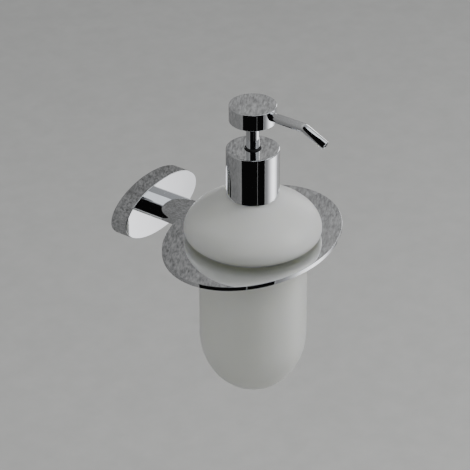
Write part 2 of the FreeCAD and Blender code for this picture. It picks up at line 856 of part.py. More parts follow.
# ---------------------------------------------------------------------------
# The whole object
# ---------------------------------------------------------------------------
make_wall_plate()
make_rosette()
make_grub_screw()
make_arm()
screw_pair(
    "arm_screws", "XZ_Plane", "rosette_depth - rosette_web", "0", "arm_screw_offset",
    ("arm_screw_radius", "arm_screw_length", "arm_screw_head", "arm_screw_head_height",
     "arm_screw_socket"),
)
make_ring_plate()
screw_pair(
    "ring_screws", "XY_Plane", "ring_screw_seat", "-1 * ring_screw_y", "ring_screw_x",
    ("ring_screw_radius", "ring_screw_tip - ring_screw_seat", "ring_screw_head",
     "ring_screw_head_height", "ring_screw_socket"),
)
make_ring_liner()
make_bottle()
make_closure_cap()
make_closure_collar()
turned("neck_gasket", tube_profile("gasket_bore", "gasket_radius", "gasket_low", "gasket_high"))
make_pump_housing()
make_guide_bush()
turned("dip_tube", tube_profile("tube_bore", "tube_radius", "tube_low", "tube_high"))
make_ball("inlet_ball", "inlet_ball_radius", "inlet_ball_z")
make_spring()
make_piston_stem()
make_piston()
make_ball("outlet_ball", "outlet_ball_radius", "outlet_ball_z")
turned("stem_sleeve", tube_profile("sleeve_bore", "sleeve_radius", "sleeve_low", "sleeve_high"))
make_head_core()
make_head_shell()
make_spout_tube()
doc.recompute()

# ---------------------------------------------------------------------------
# Checks, then one STEP file per node
# ---------------------------------------------------------------------------
for item in doc.Objects:
    if "Invalid" in item.State or "Error" in item.State:
        raise ValueError(f"{item.Label} failed: {item.State}")
for node in NODES:
    if node.Shape.isNull() or not node.Shape.isValid() or not node.Shape.Solids:
        raise ValueError(f"{node.Label} has no valid solid")

os.makedirs("parts", exist_ok=True)
for node in NODES:
    node.Shape.exportStep(f"parts/{node.Label}.step")
    box = node.Shape.BoundBox
    print(
        f"{node.Label:20s} solids {len(node.Shape.Solids)}  volume {node.Shape.Volume:10.1f}"
        f"  x {box.XMin:7.2f} {box.XMax:7.2f}  y {box.YMin:8.2f} {box.YMax:7.2f}"
        f"  z {box.ZMin:8.2f} {box.ZMax:7.2f}"
    )
print(f"{len(NODES)} nodes")
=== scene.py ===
# %% [markdown]
# # A wall mounted soap dispenser
#
# The real object is a pump bottle of satin glass that hangs in an oval chrome ring.  An arm
# carries the ring, and an oval rosette on the wall carries the arm.  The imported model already
# holds every size, place and joint, so it comes in first and nothing of it is moved.

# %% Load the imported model
import json
import math

import bmesh
import bpy
from mathutils import Matrix, Vector


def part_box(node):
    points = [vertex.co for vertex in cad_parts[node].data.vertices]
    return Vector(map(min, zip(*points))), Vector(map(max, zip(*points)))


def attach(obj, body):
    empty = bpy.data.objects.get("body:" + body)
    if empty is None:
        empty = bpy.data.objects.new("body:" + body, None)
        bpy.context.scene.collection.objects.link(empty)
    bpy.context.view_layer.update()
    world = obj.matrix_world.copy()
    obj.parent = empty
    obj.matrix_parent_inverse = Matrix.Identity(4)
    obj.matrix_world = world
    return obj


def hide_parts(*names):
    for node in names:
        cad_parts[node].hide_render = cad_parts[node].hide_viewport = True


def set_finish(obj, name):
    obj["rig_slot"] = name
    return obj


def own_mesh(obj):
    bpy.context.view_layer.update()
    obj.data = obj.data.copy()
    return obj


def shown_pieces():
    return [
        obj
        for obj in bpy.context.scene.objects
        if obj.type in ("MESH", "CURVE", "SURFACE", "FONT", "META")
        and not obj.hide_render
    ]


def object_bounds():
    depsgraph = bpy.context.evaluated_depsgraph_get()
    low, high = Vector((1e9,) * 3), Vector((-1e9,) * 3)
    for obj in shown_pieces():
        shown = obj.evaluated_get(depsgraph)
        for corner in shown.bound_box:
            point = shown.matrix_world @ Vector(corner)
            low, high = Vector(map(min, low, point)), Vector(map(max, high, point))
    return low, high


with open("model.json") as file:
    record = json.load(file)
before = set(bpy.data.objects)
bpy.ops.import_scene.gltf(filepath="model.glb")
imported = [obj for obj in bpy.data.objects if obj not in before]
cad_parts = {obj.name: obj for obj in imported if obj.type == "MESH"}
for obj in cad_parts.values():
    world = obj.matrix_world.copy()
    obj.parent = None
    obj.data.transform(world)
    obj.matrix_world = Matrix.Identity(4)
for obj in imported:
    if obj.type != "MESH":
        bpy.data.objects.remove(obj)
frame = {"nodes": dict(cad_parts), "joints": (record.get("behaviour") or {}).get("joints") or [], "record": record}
cad_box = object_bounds()

# %% [markdown]
# ## Places
#
# Bottle, pump and head share one upright axis.  Its place is read from the chrome stem, and
# the heights are read from the model's own boxes, so that no piece is placed by eye.

# %% The shared axis and the heights along it
MM = 0.001
FULL_TURN = 2 * math.pi


def low_of(node):
    """Lowest height of a node in millimetres."""
    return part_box(node)[0].z / MM


def high_of(node):
    """Highest height of a node in millimetres."""
    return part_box(node)[1].z / MM


def half_width(node):
    """Half of a node's size along X in millimetres."""
    low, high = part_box(node)
    return (high.x - low.x) / 2 / MM


stem_low_corner, stem_high_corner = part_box("stem_sleeve")
axis = Vector((0, (stem_low_corner.y + stem_high_corner.y) / 2, 0))
print("the bottle stands", round(-axis.y / MM, 2), "mm from the wall")

# %% [markdown]
# ## From a bmesh to a shown piece
#
# Each piece is shaped in a bmesh, then handed over here.  Curved metal needs smooth shading
# with true edges kept sharp.  A Weighted Normal modifier stops the small rounded edges from
# bending the reflections in the flat faces beside them, which shows at once in chrome.

# %% Hand over a finished shape
CREASE = math.radians(35)


def show(shape, name, body, slot, *nodes):
    """Make the shape an object that rides on a body and stands for CAD nodes."""
    mesh = bpy.data.meshes.new(name)
    shape.to_mesh(mesh)
    shape.free()
    mesh.shade_smooth()
    mesh.set_sharp_from_angle(angle=CREASE)
    piece = bpy.data.objects.new(name, mesh)
    bpy.context.scene.collection.objects.link(piece)
    even = piece.modifiers.new("even_shading", "WEIGHTED_NORMAL")
    even.keep_sharp = True
    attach(piece, body)
    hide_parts(*nodes)
    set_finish(piece, slot)
    print(f"{name}: {len(mesh.polygons)} faces on {body}")
    return piece


# %% [markdown]
# ## Turned pieces
#
# Everything from the glass to the head is turned on a lathe or blown in a round mould.  So
# each of these pieces starts as one half section: a chain of corners given by radius and
# height.  A corner may have a rounding, which a bevel of the bare vertex draws, and Spin then
# takes the section round the axis.

# %% Draw a half section and spin it
ROUNDING_STEPS = 4
AROUND = 144
WELD = 1e-6


def chain(shape, corners, closed=True):
    """Join corners of radius, height and rounding, in millimetres, with straight edges."""
    points = [
        shape.verts.new((radius * MM, axis.y, height * MM)) for radius, height, _ in corners
    ]
    ends = points[1:] + points[:1] if closed else points[1:]
    for first, second in zip(points, ends):
        shape.edges.new((first, second))
    for point, (_, _, rounding) in zip(points, corners):
        if rounding:
            bmesh.ops.bevel(
                shape, geom=[point], offset=rounding * MM, offset_type="OFFSET",
                affect="VERTICES", segments=ROUNDING_STEPS, profile=0.5, material=-1,
            )


def spin_round(shape, steps=AROUND):
    """Take the section in a bmesh once round the bottle's axis."""
    bmesh.ops.remove_doubles(shape, verts=shape.verts, dist=WELD)
    bmesh.ops.spin(
        shape, geom=shape.verts[:] + shape.edges[:], cent=axis, axis=(0, 0, 1),
        angle=FULL_TURN, steps=steps, use_merge=True, use_duplicate=False,
    )
    bmesh.ops.remove_doubles(shape, verts=shape.verts, dist=WELD)
    bmesh.ops.recalc_face_normals(shape, faces=shape.faces)


def turned(name, corners, body, slot, node, closed=True):
    """A whole turned piece from one list of corners."""
    shape = bmesh.new()
    chain(shape, corners, closed)
    spin_round(shape)
    return show(shape, name, body, slot, node)


# %% [markdown]
# ## The glass bottle
#
# The bottle has a broad domed shoulder that rises in a cone to the neck, a soft edge that
# rests on the ring, a straight barrel and a rounded bottom.  Dome and bottom are parts of
# ellipsoids.  A point swung about a centre draws part of a circle, and Scale then squashes it
# to an ellipse.  The inside is drawn too, because light passes two surfaces of each wall.

# %% Swing a point to draw part of an ellipse
def arc(shape, radius, height, reach, sweep, squash, steps):
    """Swing a point about radius, height through sweep degrees, then squash its heights."""
    known = set(shape.verts)
    first = shape.verts.new(((radius + reach) * MM, axis.y, height * MM))
    centre = Vector((radius * MM, axis.y, height * MM))
    bmesh.ops.spin(
        shape, geom=[first], cent=centre, axis=(0, -1, 0), angle=math.radians(sweep),
        steps=steps, use_merge=False, use_duplicate=False,
    )
    swung = [vert for vert in shape.verts if vert not in known]
    bmesh.ops.scale(
        shape, vec=(1, 1, squash), space=Matrix.Translation(-centre), verts=swung,
    )


# %% Section of the glass
SHOULDER = half_width("bottle")
GLASS_LOW = low_of("bottle")
GLASS_HIGH = high_of("bottle")
SHOULDER_LEVEL = 8.3
SHOULDER_RISE = 21.7
SHOULDER_SLOPE = 0.6
EDGE_ROUND = 3.8
SEAT_RADIUS, SEAT_HEIGHT = 36.5, 3.75
BARREL, BARREL_LOW = 33.9, -68.0
GLASS_WALL = 3.0
NECK, NECK_BORE = 12.9, 10.4
CREST, CREST_HEIGHT, CREST_STEP, CREST_LOW = 13.9, 1.3, 3.2, 37.0


def cone_share(widest, rise):
    """Share of a dome's widest radius at which it is as steep as the cone above it."""
    return 1 / math.hypot(1, rise / (SHOULDER_SLOPE * widest))


def cone_corner(widest, rise, radius, rounding=0):
    """Corner on the cone above a dome, at a given radius."""
    share = cone_share(widest, rise)
    start = SHOULDER_LEVEL + rise * math.sqrt(1 - share ** 2)
    return radius, start + SHOULDER_SLOPE * (widest * share - radius), rounding


def dome(shape, widest, rise, steps):
    """Draw a dome's section from its widest level up to its cone."""
    sweep = math.degrees(math.acos(cone_share(widest, rise)))
    arc(shape, 0, SHOULDER_LEVEL, widest, sweep, rise / widest, steps)


inner_shoulder = SHOULDER - GLASS_WALL
inner_rise = SHOULDER_RISE - GLASS_WALL
inner_barrel = BARREL - GLASS_WALL
bottom_drop = BARREL_LOW - GLASS_LOW
inner_drop = bottom_drop - GLASS_WALL
outer_cone_foot = SHOULDER * cone_share(SHOULDER, SHOULDER_RISE)
inner_cone_foot = inner_shoulder * cone_share(inner_shoulder, inner_rise)

glass = bmesh.new()
neck_corners = [
    cone_corner(inner_shoulder, inner_rise, inner_cone_foot),
    cone_corner(inner_shoulder, inner_rise, NECK_BORE, 1.0),
    (NECK_BORE, GLASS_HIGH, 0.8), (NECK, GLASS_HIGH, 0.8),
]
for turn in (2, 1, 0):
    ridge = CREST_LOW + turn * CREST_STEP
    neck_corners += [
        (NECK, ridge + CREST_HEIGHT, 0.1), (CREST, ridge + 0.7 * CREST_HEIGHT, 0.15),
        (CREST, ridge + 0.3 * CREST_HEIGHT, 0.15), (NECK, ridge, 0.1),
    ]
neck_corners += [
    cone_corner(SHOULDER, SHOULDER_RISE, NECK, 1.0),
    cone_corner(SHOULDER, SHOULDER_RISE, outer_cone_foot),
]
chain(glass, neck_corners, closed=False)
dome(glass, SHOULDER, SHOULDER_RISE, 36)
arc(glass, SHOULDER - EDGE_ROUND, SHOULDER_LEVEL, EDGE_ROUND, -90, 1, 10)
chain(glass, [
    (SHOULDER - EDGE_ROUND, SHOULDER_LEVEL - EDGE_ROUND, 0), (SEAT_RADIUS, SEAT_HEIGHT, 0.6),
    (BARREL, SEAT_HEIGHT, 0.9), (BARREL, BARREL_LOW, 0),
], closed=False)
arc(glass, 0, BARREL_LOW, BARREL, -90, bottom_drop / BARREL, 36)
arc(glass, 0, BARREL_LOW, inner_barrel, -90, inner_drop / inner_barrel, 30)
chain(glass, [
    (inner_barrel, BARREL_LOW, 0), (inner_barrel, SHOULDER_LEVEL - 1.6, 4.0),
    (inner_shoulder, SHOULDER_LEVEL, 0),
], closed=False)
dome(glass, inner_shoulder, inner_rise, 28)
spin_round(glass, steps=192)
show(glass, "glass_bottle", "bottle", "frosted_glass", "bottle")

# %% [markdown]
# ## Screw cap, pump and stem
#
# The chrome cap is a thin shell with a softly rounded top edge and a hole for the black bush.
# The white collar inside it holds the pump's flange down on the gasket.  These pieces only
# show when the pump is lifted out, but they are turned in the same way.

# %% Turn the closure and the pump
CAP = half_width("closure_cap")
CAP_LOW, CAP_HIGH = low_of("closure_cap"), high_of("closure_cap")
CAP_WALL, CAP_TOP, CAP_HOLE = 0.9, 1.2, 5.15
turned("screw_cap", [
    (CAP_HOLE, CAP_HIGH - CAP_TOP, 0), (CAP_HOLE, CAP_HIGH, 0.2), (CAP, CAP_HIGH, 0.8),
    (CAP, CAP_LOW, 0.3), (CAP - CAP_WALL, CAP_LOW, 0.2),
    (CAP - CAP_WALL, CAP_HIGH - CAP_TOP, 0.3),
], "closure", "chrome", "closure_cap")

COLLAR = half_width("closure_collar")
COLLAR_LOW, COLLAR_HIGH = low_of("closure_collar"), high_of("closure_collar")
COLLAR_BORE, COLLAR_HOLE, COLLAR_WEB = 14.2, 9.6, 49.8
turned("screw_collar", [
    (COLLAR_BORE, COLLAR_LOW, 0.3), (COLLAR, COLLAR_LOW, 0.2), (COLLAR, COLLAR_HIGH, 0.4),
    (COLLAR_HOLE, COLLAR_HIGH, 0.3), (COLLAR_HOLE, COLLAR_WEB, 0.2),
    (COLLAR_BORE, COLLAR_WEB, 0.3),
], "closure", "white_plastic", "closure_collar")

FLANGE_HIGH = high_of("pump_housing")
HOUSING_LOW = low_of("pump_housing")
FLANGE, FLANGE_LOW = 12.9, 48.2
PUMP_OUTSIDE, PUMP_BORE, PUMP_FOOT, PUMP_FLOOR = 7.6, 6.2, 10.4, 12.0
TAIL, TAIL_TOP, TUBE_SOCKET, SOCKET_TOP = 3.7, 7.5, 2.47, 4.7
VALVE_HOLE, SEAT_LOW, SEAT_HIGH = 1.4, 6.6, 7.8
VALVE_ROOM, VALVE_ROOF, ROOF_HOLE = 2.45, 11.2, 1.7
turned("pump_barrel", [
    (PUMP_BORE, FLANGE_HIGH, 0.2), (FLANGE, FLANGE_HIGH, 0.3), (FLANGE, FLANGE_LOW, 0.3),
    (PUMP_OUTSIDE, FLANGE_LOW, 0.4), (PUMP_OUTSIDE, PUMP_FOOT, 0.8), (TAIL, TAIL_TOP, 0.6),
    (TAIL, HOUSING_LOW, 0.3), (TUBE_SOCKET, HOUSING_LOW, 0.1), (TUBE_SOCKET, SOCKET_TOP, 0),
    (VALVE_HOLE, SOCKET_TOP, 0), (VALVE_HOLE, SEAT_LOW, 0), (VALVE_ROOM, SEAT_HIGH, 0),
    (VALVE_ROOM, VALVE_ROOF, 0), (ROOF_HOLE, VALVE_ROOF, 0), (ROOF_HOLE, PUMP_FLOOR, 0),
    (PUMP_BORE, PUMP_FLOOR, 0.4),
], "pump", "white_plastic", "pump_housing")

SEAL, SEAL_BORE = half_width("neck_gasket"), 8.2
SEAL_LOW, SEAL_HIGH = low_of("neck_gasket"), high_of("neck_gasket")
turned("neck_seal", [
    (SEAL_BORE, SEAL_LOW, 0.2), (SEAL, SEAL_LOW, 0.2), (SEAL, SEAL_HIGH, 0.2),
    (SEAL_BORE, SEAL_HIGH, 0.2),
], "pump", "gasket_rubber", "neck_gasket")

BUSH_LOW, BUSH_HIGH = low_of("guide_bush"), high_of("guide_bush")
BUSH_BORE, BUSH_PLUG, BUSH_BODY, BUSH_LIP = 4.16, 6.1, 6.8, 4.95
BUSH_FLANGE, BUSH_FLANGE_LOW, BUSH_FLANGE_HIGH, BUSH_BODY_HIGH = 9.2, 49.62, 51.2, 62.9
turned("stem_bush", [
    (BUSH_BORE, BUSH_LOW, 0.2), (BUSH_PLUG, BUSH_LOW, 0.2), (BUSH_PLUG, BUSH_FLANGE_LOW, 0),
    (BUSH_FLANGE, BUSH_FLANGE_LOW, 0.2), (BUSH_FLANGE, BUSH_FLANGE_HIGH, 0.3),
    (BUSH_BODY, BUSH_FLANGE_HIGH, 0.2), (BUSH_BODY, BUSH_BODY_HIGH, 0.3),
    (BUSH_LIP, BUSH_BODY_HIGH, 0.1), (BUSH_LIP, BUSH_HIGH, 0.35), (BUSH_BORE, BUSH_HIGH, 0.1),
], "pump", "black_plastic", "guide_bush")

# %% [markdown]
# The dip tube is cut off at a slant at its foot on the real pump, so that it can't suck itself
# fast on the glass.  Bisect makes that cut after the tube is spun, and the cut's open ring is
# filled again.

# %% Dip tube with a slanted foot
def verts_in(geom):
    """The vertices among the parts that an operator returns."""
    return [item for item in geom if isinstance(item, bmesh.types.BMVert)]


def edges_in(geom):
    """The edges among the parts that an operator returns."""
    return [item for item in geom if isinstance(item, bmesh.types.BMEdge)]


TUBE = half_width("dip_tube")
TUBE_LOW, TUBE_HIGH = low_of("dip_tube"), high_of("dip_tube")
TUBE_BORE = 1.6
straw = bmesh.new()
chain(straw, [
    (TUBE_BORE, TUBE_LOW, 0), (TUBE, TUBE_LOW, 0), (TUBE, TUBE_HIGH, 0), (TUBE_BORE, TUBE_HIGH, 0),
])
spin_round(straw, steps=64)
cut = bmesh.ops.bisect_plane(
    straw, geom=straw.verts[:] + straw.edges[:] + straw.faces[:], dist=WELD,
    plane_co=(0, axis.y, (TUBE_LOW + TUBE) * MM), plane_no=(0, -1, -1), clear_outer=True,
)
bmesh.ops.bridge_loops(straw, edges=edges_in(cut["geom_cut"]))
bmesh.ops.recalc_face_normals(straw, faces=straw.faces)
show(straw, "dip_straw", "pump", "tube_plastic", "dip_tube")

SLEEVE = half_width("stem_sleeve")
SLEEVE_LOW, SLEEVE_HIGH = low_of("stem_sleeve"), high_of("stem_sleeve")
SLEEVE_BORE = 3.3
turned("stem_tube", [
    (SLEEVE_BORE, SLEEVE_LOW, 0.1), (SLEEVE, SLEEVE_LOW, 0.25), (SLEEVE, SLEEVE_HIGH, 0.2),
    (SLEEVE_BORE, SLEEVE_HIGH, 0.1),
], "head", "chrome", "stem_sleeve")

# %% [markdown]
# The return spring is a screw: the same Spin operator, with a small rise added at each step.
# It rides on the pump.  The share of its length that it keeps when the head is pressed is worked out from the
# press joint.

# %% Return spring
COIL_RADIUS, WIRE, COIL_PITCH = 4.6, 0.45, 3.0
COIL_LOW, COIL_HIGH = low_of("spring"), high_of("spring")
STEPS_A_TURN = 36
coil_rise = COIL_HIGH - COIL_LOW - 2 * WIRE
coil_turns = coil_rise / COIL_PITCH
coil_steps = round(coil_turns * STEPS_A_TURN)
coil = bmesh.new()
wire_place = Vector((COIL_RADIUS * MM, axis.y, (COIL_LOW + WIRE) * MM))
bmesh.ops.create_circle(
    coil, segments=12, radius=WIRE * MM, cap_ends=False,
    matrix=Matrix.Translation(wire_place) @ Matrix.Rotation(math.pi / 2, 4, "X"),
)
first_end = coil.edges[:]
wound = bmesh.ops.spin(
    coil, geom=first_end, cent=axis, axis=(0, 0, 1), dvec=(0, 0, coil_rise * MM / coil_steps),
    angle=coil_turns * FULL_TURN, steps=coil_steps, use_duplicate=False,
)
for end in (first_end, edges_in(wound["geom_last"])):
    bmesh.ops.edgeloop_fill(coil, edges=end)
bmesh.ops.recalc_face_normals(coil, faces=coil.faces)
return_spring = show(coil, "return_spring", "pump", "steel", "spring")
press = next(joint for joint in frame["joints"] if joint["name"] == "pump_press")
pressed_share = 1 - press["range_m"][1] / ((COIL_HIGH - COIL_LOW) * MM)
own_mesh(return_spring)
print("the pressed spring keeps", round(pressed_share, 3), "of its length")

# %% [markdown]
# ## Head and spout
#
# The head is a chrome cup over a black core.  Its edges are only just broken, which gives the
# thin bright line round the top.  The spout is a tube: a circle of vertices, extruded straight,
# spun through the bend and extruded again, and Solidify gives it its wall inwards.

# %% Head shell and core
HEAD = half_width("head_shell")
HEAD_LOW, HEAD_HIGH = low_of("head_shell"), high_of("head_shell")
HEAD_WALL, HEAD_TOP = 1.0, 0.8
turned("head_cup", [
    (0, HEAD_HIGH, 0), (HEAD, HEAD_HIGH, 0.4), (HEAD, HEAD_LOW, 0.35),
    (HEAD - HEAD_WALL, HEAD_LOW, 0.2), (HEAD - HEAD_WALL, HEAD_HIGH - HEAD_TOP, 0.2),
    (0, HEAD_HIGH - HEAD_TOP, 0),
], "head", "chrome", "head_shell", closed=False)
CORE = half_width("head_core")
CORE_LOW, CORE_HIGH = low_of("head_core"), high_of("head_core")
CORE_SOCKET, SOCKET_CEILING = SLEEVE + 0.02, SLEEVE_HIGH + 0.1
turned("core_plug", [
    (0, CORE_HIGH, 0), (CORE, CORE_HIGH, 0.2), (CORE, CORE_LOW, 0.3), (CORE_SOCKET, CORE_LOW, 0.3),
    (CORE_SOCKET, SOCKET_CEILING, 0), (0, SOCKET_CEILING, 0),
], "head", "black_plastic", "head_core", closed=False)

# %% Spout tube
SPOUT = half_width("spout_tube")
SPOUT_LEVEL = 90.1
SPOUT_START, SPOUT_BEND, BEND_RADIUS = 6.0, 36.0, 7.0
SPOUT_DROP = math.radians(26)
TIP_LENGTH = 15.2
SPOUT_WALL, SPOUT_RIM = 0.75, 0.12
spout_shape = bmesh.new()
inner_end = Matrix.Translation((0, axis.y - SPOUT_START * MM, SPOUT_LEVEL * MM))
bmesh.ops.create_circle(
    spout_shape, segments=64, radius=SPOUT * MM, cap_ends=False,
    matrix=inner_end @ Matrix.Rotation(math.pi / 2, 4, "X"),
)


def extrude_tube(shape, edges, move):
    """Draw a ring of edges out by a vector and return the new ring."""
    made = bmesh.ops.extrude_edge_only(shape, edges=edges)["geom"]
    moved = verts_in(made)
    bmesh.ops.translate(shape, verts=moved, vec=move)
    return [edge for edge in edges_in(made) if set(edge.verts) <= set(moved)]


straight_run = Vector((0, SPOUT_START - SPOUT_BEND, 0)) * MM
ring = extrude_tube(spout_shape, spout_shape.edges[:], straight_run)
bend = bmesh.ops.spin(
    spout_shape, geom=ring, angle=SPOUT_DROP, steps=14, axis=(1, 0, 0),
    cent=(0, axis.y - SPOUT_BEND * MM, (SPOUT_LEVEL - BEND_RADIUS) * MM), use_duplicate=False,
)
ring = edges_in(bend["geom_last"])
tip_way = Vector((0, -math.cos(SPOUT_DROP), -math.sin(SPOUT_DROP)))
extrude_tube(spout_shape, ring, tip_way * TIP_LENGTH * MM)
bmesh.ops.remove_doubles(spout_shape, verts=spout_shape.verts, dist=WELD)
bmesh.ops.recalc_face_normals(spout_shape, faces=spout_shape.faces)
spout = show(spout_shape, "spout_pipe", "head", "chrome", "spout_tube")
spout.modifiers.clear()
wall = spout.modifiers.new("tube_wall", "SOLIDIFY")
wall.thickness = SPOUT_WALL * MM
wall.offset = -1
rim = spout.modifiers.new("broken_rim", "BEVEL")
rim.width = SPOUT_RIM * MM
rim.segments = 2
rim.limit_method = "ANGLE"
rim.angle_limit = math.radians(60)

# %% [markdown]
# ## Ring and liner
#
# The ring is cut from plate: an oval outside and a round hole.  Two circles of vertices are
# bridged to a flat band, the band is extruded to the plate's thickness, and a bevel breaks
# the edges.  A thin liner of natural nylon keeps the glass off the metal.

# %% Oval ring plate
RING_LOW, RING_HIGH = low_of("ring_plate"), high_of("ring_plate")
RING_X, RING_Y = half_width("ring_plate"), 50.0
RING_HOLE = 35.3
RING_EDGE = 0.25
plate = bmesh.new()
ground = Matrix.Translation((0, axis.y, RING_LOW * MM))
for half_x, half_y in ((RING_X, RING_Y), (RING_HOLE, RING_HOLE)):
    bmesh.ops.create_circle(
        plate, segments=256, radius=1, cap_ends=False,
        matrix=ground @ Matrix.Diagonal((half_x * MM, half_y * MM, 1, 1)),
    )
bmesh.ops.bridge_loops(plate, edges=plate.edges[:])
band = bmesh.ops.extrude_face_region(plate, geom=plate.faces[:])["geom"]
bmesh.ops.translate(plate, verts=verts_in(band), vec=(0, 0, (RING_HIGH - RING_LOW) * MM))
bmesh.ops.recalc_face_normals(plate, faces=plate.faces)


def sharp_edges(shape, least=60):
    """Edges where two faces meet at more than a given angle."""
    limit = math.radians(least)
    return [edge for edge in shape.edges if edge.is_manifold and edge.calc_face_angle() > limit]


def break_edges(shape, edges, width, segments=3):
    """Round edges over a small width in millimetres."""
    bmesh.ops.bevel(
        shape, geom=edges, offset=width * MM, offset_type="OFFSET", affect="EDGES",
        segments=segments, profile=0.5, material=-1, clamp_overlap=True,
    )


break_edges(plate, sharp_edges(plate), RING_EDGE)
show(plate, "oval_ring", "holder", "chrome", "ring_plate")

LINER_FLANGE, LINER_HIGH = half_width("ring_liner"), high_of("ring_liner")
LINER_BORE, LINER_OUTSIDE = 34.3, 35.26
turned("nylon_liner", [
    (LINER_BORE, RING_LOW, 0.2), (LINER_OUTSIDE, RING_LOW, 0.2), (LINER_OUTSIDE, RING_HIGH, 0),
    (LINER_FLANGE, RING_HIGH, 0.1), (LINER_FLANGE, LINER_HIGH, 0.3), (LINER_BORE, LINER_HIGH, 0.3),
], "holder", "clear_plastic", "ring_liner")

# %% [markdown]
# ## Rosette and arm
#
# Both are ovals drawn out from the wall, so one helper lays an oval face in the wall's plane.
# The rosette is a cup: its back is inset and pushed in.  The arm is a bar whose end is slotted
# for the ring, and Boolean modifiers with the ring's own outline cut that slot cleanly.

# %% Ovals in the wall's plane
def wall_oval(shape, half_x, half_z, depth, segments=192):
    """A filled oval parallel to the wall, at a depth in millimetres."""
    place = Matrix.Translation((0, -depth * MM, 0)) @ Matrix.Rotation(math.pi / 2, 4, "X")
    bmesh.ops.create_circle(
        shape, segments=segments, radius=1, cap_ends=True,
        matrix=place @ Matrix.Diagonal((half_x * MM, half_z * MM, 1, 1)),
    )


def draw_out(shape, faces, move):
    """Extrude faces by a vector in millimetres."""
    made = bmesh.ops.extrude_face_region(shape, geom=faces)["geom"]
    bmesh.ops.translate(shape, verts=verts_in(made), vec=Vector(move) * MM)


def cut_away(piece, cutter):
    """Take the cutter bmesh out of a piece and keep the result as plain mesh."""
    mesh = bpy.data.meshes.new("cutter")
    cutter.to_mesh(mesh)
    cutter.free()
    tool = bpy.data.objects.new("cutter", mesh)
    bpy.context.scene.collection.objects.link(tool)
    piece.modifiers.clear()
    cut_mark = piece.modifiers.new("cut", "BOOLEAN")
    cut_mark.operation = "DIFFERENCE"
    cut_mark.solver = "EXACT"
    cut_mark.object = tool
    bpy.context.view_layer.update()
    ready = piece.evaluated_get(bpy.context.evaluated_depsgraph_get())
    piece.data = bpy.data.meshes.new_from_object(ready)
    piece.modifiers.clear()
    bpy.data.objects.remove(tool)


# %% Rosette cup
ROSETTE_X, ROSETTE_Z, ROSETTE_DEPTH = half_width("rosette"), high_of("rosette"), 11.9
ROSETTE_WALL, ROSETTE_WEB, ROSETTE_EDGE = 2.5, 3.0, 0.45
GRUB_DEPTH, GRUB_RADIUS = 2.1, 1.52
cup = bmesh.new()
wall_oval(cup, ROSETTE_X, ROSETTE_Z, 0)
draw_out(cup, cup.faces[:], (0, -ROSETTE_DEPTH, 0))
bmesh.ops.recalc_face_normals(cup, faces=cup.faces)
front = -ROSETTE_DEPTH * MM
front_rim = [
    edge for edge in cup.edges if all(abs(vert.co.y - front) < WELD for vert in edge.verts)
]
break_edges(cup, front_rim, ROSETTE_EDGE)
back = [face for face in cup.faces if abs(face.calc_center_median().y) < WELD]
bmesh.ops.inset_region(cup, faces=back, thickness=ROSETTE_WALL * MM, use_even_offset=True)
draw_out(cup, back, (0, ROSETTE_WEB - ROSETTE_DEPTH, 0))
bmesh.ops.recalc_face_normals(cup, faces=cup.faces)
rosette_cup = show(cup, "rosette_cup", "holder", "chrome", "rosette")

grub_hole = bmesh.new()
bmesh.ops.create_cone(
    grub_hole, segments=48, radius1=GRUB_RADIUS * MM, radius2=GRUB_RADIUS * MM, depth=6 * MM,
    cap_ends=True, matrix=Matrix.Translation((0, -GRUB_DEPTH * MM, -ROSETTE_Z * MM)),
)
cut_away(rosette_cup, grub_hole)

# %% Arm bar
ARM_X, ARM_Z = half_width("arm"), high_of("arm")
ARM_END = 48.0
SHOULDER_ROOM, TIP_ROOM = 43.8, RING_HOLE + 2
SLOT_PLAY = 0.02
bar = bmesh.new()
wall_oval(bar, ARM_X, ARM_Z, ROSETTE_DEPTH)
draw_out(bar, bar.faces[:], (0, ROSETTE_DEPTH - ARM_END, 0))
bmesh.ops.recalc_face_normals(bar, faces=bar.faces)
arm_bar = show(bar, "arm_bar", "holder", "chrome", "arm")


def round_cutter(radius_x, radius_y, low, high, segments=256):
    """A round or oval plug about the bottle's axis, between two heights."""
    plug = bmesh.new()
    place = Matrix.Translation((0, axis.y, (low + high) / 2 * MM))
    bmesh.ops.create_cone(
        plug, segments=segments, radius1=1, radius2=1, depth=(high - low) * MM, cap_ends=True,
        matrix=place @ Matrix.Diagonal((radius_x * MM, radius_y * MM, 1, 1)),
    )
    return plug


CLEAR = 1
for radius_x, radius_y, low, high in (
    (RING_X + SLOT_PLAY, RING_Y + SLOT_PLAY, RING_LOW - SLOT_PLAY, RING_HIGH + SLOT_PLAY),
    (SHOULDER_ROOM, SHOULDER_ROOM, RING_HIGH - SLOT_PLAY, ARM_Z + CLEAR),
    (TIP_ROOM, TIP_ROOM, -ARM_Z - CLEAR, RING_HIGH),
):
    cut_away(arm_bar, round_cutter(radius_x, radius_y, low, high))

# %% [markdown]
# Two small screws hold the ring from below, in round pockets in the arm.  The pockets are cut
# last, and a Bevel modifier breaks every edge that the cuts have left.

# %% Screw pockets and broken edges
SCREW_X, SCREW_FROM_WALL, SCREW_SEAT = 5.2, 36.8, -3.6
POCKET_RADIUS = 2.9
pocket_depth = SCREW_SEAT + ARM_Z + 2 * CLEAR
pocket_middle = SCREW_SEAT - pocket_depth / 2
for side in (-1, 1):
    pocket = bmesh.new()
    bmesh.ops.create_cone(
        pocket, segments=48, radius1=POCKET_RADIUS * MM, radius2=POCKET_RADIUS * MM,
        depth=pocket_depth * MM, cap_ends=True,
        matrix=Matrix.Translation(Vector((side * SCREW_X, -SCREW_FROM_WALL, pocket_middle)) * MM),
    )
    cut_away(arm_bar, pocket)

